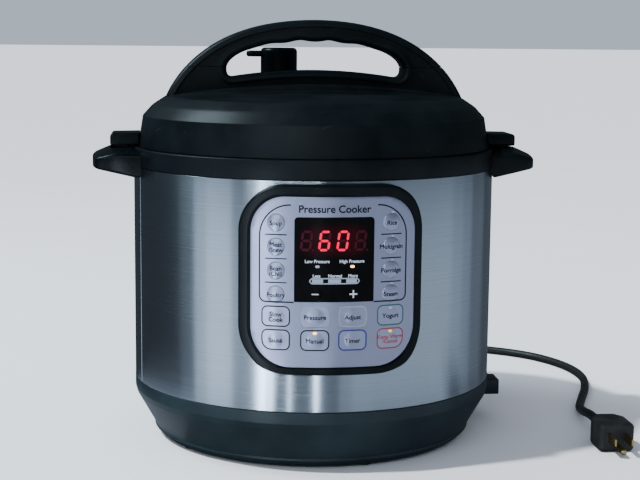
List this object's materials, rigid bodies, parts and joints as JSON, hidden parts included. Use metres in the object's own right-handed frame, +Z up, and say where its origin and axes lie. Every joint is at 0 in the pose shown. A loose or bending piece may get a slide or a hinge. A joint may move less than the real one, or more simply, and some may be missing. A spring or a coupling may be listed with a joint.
{
  "type": "electric pressure cooker",
  "caption": "Round countertop electric pressure cooker: brushed steel body, twist-lock lid with arched handle, front key panel, inner pot, steam valve and detachable mains lead.",
  "frame": {"origin": "middle of the footprint on the surface that the cooker stands on, measured without the mains lead", "axes": "+Z up, -Y towards the front panel, +X to the right as the user faces the panel"},
  "size_m": [0.4302, 0.4222, 0.317],
  "materials": {
    "matte_black": "fine matte moulded plastic, faintly blue-green",
    "base_plastic": "matte moulded plastic",
    "gloss_black": "glossy moulded plastic",
    "brushed_steel": "brushed around the body",
    "polished_steel": "polished stainless steel",
    "galvanised": "plain sheet steel",
    "cast_aluminium": "cast, lightly machined",
    "overlay": "silver-lilac satin film",
    "keys": "raised domes in satin film",
    "window": "smoked display window",
    "board": "circuit board",
    "display": "red seven-segment display",
    "silicone": "translucent silicone",
    "clear_cup": "clear moulded plastic",
    "rubber": "moulded rubber",
    "cable": "smooth cable sheath",
    "brass": "contact metal"
  },
  "bodies": {
    "base": {"base_shell": "base_plastic", "bottom_plate": "base_plastic", "foot_1": "rubber", "foot_2": "rubber", "foot_3": "rubber", "foot_4": "rubber", "foot_5": "rubber", "steel_sleeve": "brushed_steel", "upper_collar": "matte_black", "left_handle": "gloss_black", "right_handle": "gloss_black", "inner_housing": "galvanised", "lid_lock_ring": "polished_steel", "heat_shield": "galvanised", "heating_plate": "cast_aluminium", "sensor_spring": "polished_steel", "panel_bezel": "gloss_black", "panel_overlay": "overlay", "display_window": "window", "display_module": "display", "control_board": "board", "socket_housing": "base_plastic", "inlet_pins": "brass", "lead_connector": "rubber", "power_lead": "cable", "lead_plug": "rubber"},
    "temperature_sensor": {"temperature_sensor": "cast_aluminium"},
    "condensation_collector": {"condensation_collector": "clear_cup"},
    "inner_pot": {"inner_pot": "polished_steel"},
    "lid_seal": {"sealing_ring": "silicone"},
    "lid": {"lid_shell": "matte_black", "lid_handle": "matte_black", "handle_grip": "matte_black", "left_fin": "gloss_black", "right_fin": "gloss_black", "inner_lid": "polished_steel", "ring_rack": "polished_steel", "steam_pipe": "polished_steel", "anti_block_shield": "polished_steel"},
    "steam_valve": {"steam_valve_weight": "polished_steel"},
    "steam_release": {"steam_release_handle": "gloss_black"},
    "float_valve": {"float_valve": "polished_steel"},
    "key_soup": {"key_soup": "keys"},
    "key_stew": {"key_stew": "keys"},
    "key_beans": {"key_beans": "keys"},
    "key_poultry": {"key_poultry": "keys"},
    "key_rice": {"key_rice": "keys"},
    "key_multigrain": {"key_multigrain": "keys"},
    "key_porridge": {"key_porridge": "keys"},
    "key_steam": {"key_steam": "keys"},
    "key_slow_cook": {"key_slow_cook": "keys"},
    "key_pressure": {"key_pressure": "keys"},
    "key_adjust": {"key_adjust": "keys"},
    "key_yogurt": {"key_yogurt": "keys"},
    "key_saute": {"key_saute": "keys"},
    "key_manual": {"key_manual": "keys"},
    "key_timer": {"key_timer": "keys"},
    "key_cancel": {"key_cancel": "keys"},
    "key_minus": {"key_minus": "window"},
    "key_plus": {"key_plus": "window"}
  },
  "joints": [
    {"name": "lid_lift", "type": "slide", "parent": "base", "child": "lid_seal", "axis": [0, 0, 1], "range_m": [0, 0.32]},
    {"name": "lid_turn", "type": "hinge", "parent": "lid_seal", "child": "lid", "pos_m": [0, -0.01105, 0.24], "axis": [0, 0, 1], "range_deg": [0, 30]},
    {"name": "pot_lift", "type": "slide", "parent": "base", "child": "inner_pot", "axis": [0, 0, 1], "range_m": [0, 0.16]},
    {"name": "steam_valve_lift", "type": "slide", "parent": "lid", "child": "steam_valve", "axis": [0, 0, 1], "range_m": [0, 0.025]},
    {"name": "steam_release_turn", "type": "hinge", "parent": "steam_valve", "child": "steam_release", "pos_m": [-0.0228, 0.04395, 0.28], "axis": [0, 0, 1], "range_deg": [-45, 45]},
    {"name": "float_rise", "type": "slide", "parent": "lid", "child": "float_valve", "axis": [0, 0, 1], "range_m": [0, 0.005]},
    {"name": "sensor_press", "type": "slide", "parent": "base", "child": "temperature_sensor", "axis": [0, 0, 1], "range_m": [-0.002, 0], "stiffness_N_per_m": 1000, "springref_m": 0.002, "deforming": ["sensor_spring"]},
    {"name": "collector_slide", "type": "slide", "parent": "base", "child": "condensation_collector", "axis": [0, 1, 0], "range_m": [0, 0.06]},
    {"name": "key_soup_press", "type": "slide", "parent": "base", "child": "key_soup", "axis": [0.2777, 0.9607, 0], "range_m": [0, 0.0005], "stiffness_N_per_m": 500, "springref_m": -0.0005},
    {"name": "key_stew_press", "type": "slide", "parent": "base", "child": "key_stew", "axis": [0.2777, 0.9607, 0], "range_m": [0, 0.0005], "stiffness_N_per_m": 500, "springref_m": -0.0005},
    {"name": "key_beans_press", "type": "slide", "parent": "base", "child": "key_beans", "axis": [0.2777, 0.9607, 0], "range_m": [0, 0.0005], "stiffness_N_per_m": 500, "springref_m": -0.0005},
    {"name": "key_poultry_press", "type": "slide", "parent": "base", "child": "key_poultry", "axis": [0.2777, 0.9607, 0], "range_m": [0, 0.0005], "stiffness_N_per_m": 500, "springref_m": -0.0005},
    {"name": "key_rice_press", "type": "slide", "parent": "base", "child": "key_rice", "axis": [-0.2777, 0.9607, 0], "range_m": [0, 0.0005], "stiffness_N_per_m": 500, "springref_m": -0.0005},
    {"name": "key_multigrain_press", "type": "slide", "parent": "base", "child": "key_multigrain", "axis": [-0.2777, 0.9607, 0], "range_m": [0, 0.0005], "stiffness_N_per_m": 500, "springref_m": -0.0005},
    {"name": "key_porridge_press", "type": "slide", "parent": "base", "child": "key_porridge", "axis": [-0.2777, 0.9607, 0], "range_m": [0, 0.0005], "stiffness_N_per_m": 500, "springref_m": -0.0005},
    {"name": "key_steam_press", "type": "slide", "parent": "base", "child": "key_steam", "axis": [-0.2777, 0.9607, 0], "range_m": [0, 0.0005], "stiffness_N_per_m": 500, "springref_m": -0.0005},
    {"name": "key_slow_cook_press", "type": "slide", "parent": "base", "child": "key_slow_cook", "axis": [0.2771, 0.9608, 0], "range_m": [0, 0.0005], "stiffness_N_per_m": 500, "springref_m": -0.0005},
    {"name": "key_pressure_press", "type": "slide", "parent": "base", "child": "key_pressure", "axis": [0.0916, 0.9958, 0], "range_m": [0, 0.0005], "stiffness_N_per_m": 500, "springref_m": -0.0005},
    {"name": "key_adjust_press", "type": "slide", "parent": "base", "child": "key_adjust", "axis": [-0.0909, 0.9959, 0], "range_m": [0, 0.0005], "stiffness_N_per_m": 500, "springref_m": -0.0005},
    {"name": "key_yogurt_press", "type": "slide", "parent": "base", "child": "key_yogurt", "axis": [-0.2784, 0.9605, 0], "range_m": [0, 0.0005], "stiffness_N_per_m": 500, "springref_m": -0.0005},
    {"name": "key_saute_press", "type": "slide", "parent": "base", "child": "key_saute", "axis": [0.2771, 0.9608, 0], "range_m": [0, 0.0005], "stiffness_N_per_m": 500, "springref_m": -0.0005},
    {"name": "key_manual_press", "type": "slide", "parent": "base", "child": "key_manual", "axis": [0.0916, 0.9958, 0], "range_m": [0, 0.0005], "stiffness_N_per_m": 500, "springref_m": -0.0005},
    {"name": "key_timer_press", "type": "slide", "parent": "base", "child": "key_timer", "axis": [-0.0909, 0.9959, 0], "range_m": [0, 0.0005], "stiffness_N_per_m": 500, "springref_m": -0.0005},
    {"name": "key_cancel_press", "type": "slide", "parent": "base", "child": "key_cancel", "axis": [-0.2784, 0.9605, 0], "range_m": [0, 0.0005], "stiffness_N_per_m": 500, "springref_m": -0.0005},
    {"name": "key_minus_press", "type": "slide", "parent": "base", "child": "key_minus", "axis": [0.0916, 0.9958, 0], "range_m": [0, 0.0005], "stiffness_N_per_m": 500, "springref_m": -0.0005},
    {"name": "key_plus_press", "type": "slide", "parent": "base", "child": "key_plus", "axis": [-0.0916, 0.9958, 0], "range_m": [0, 0.0005], "stiffness_N_per_m": 500, "springref_m": -0.0005}
  ],
  "couplings": [
    {"joint": "pot_lift", "follows": "lid_lift", "ratio": 0.5}
  ]
}
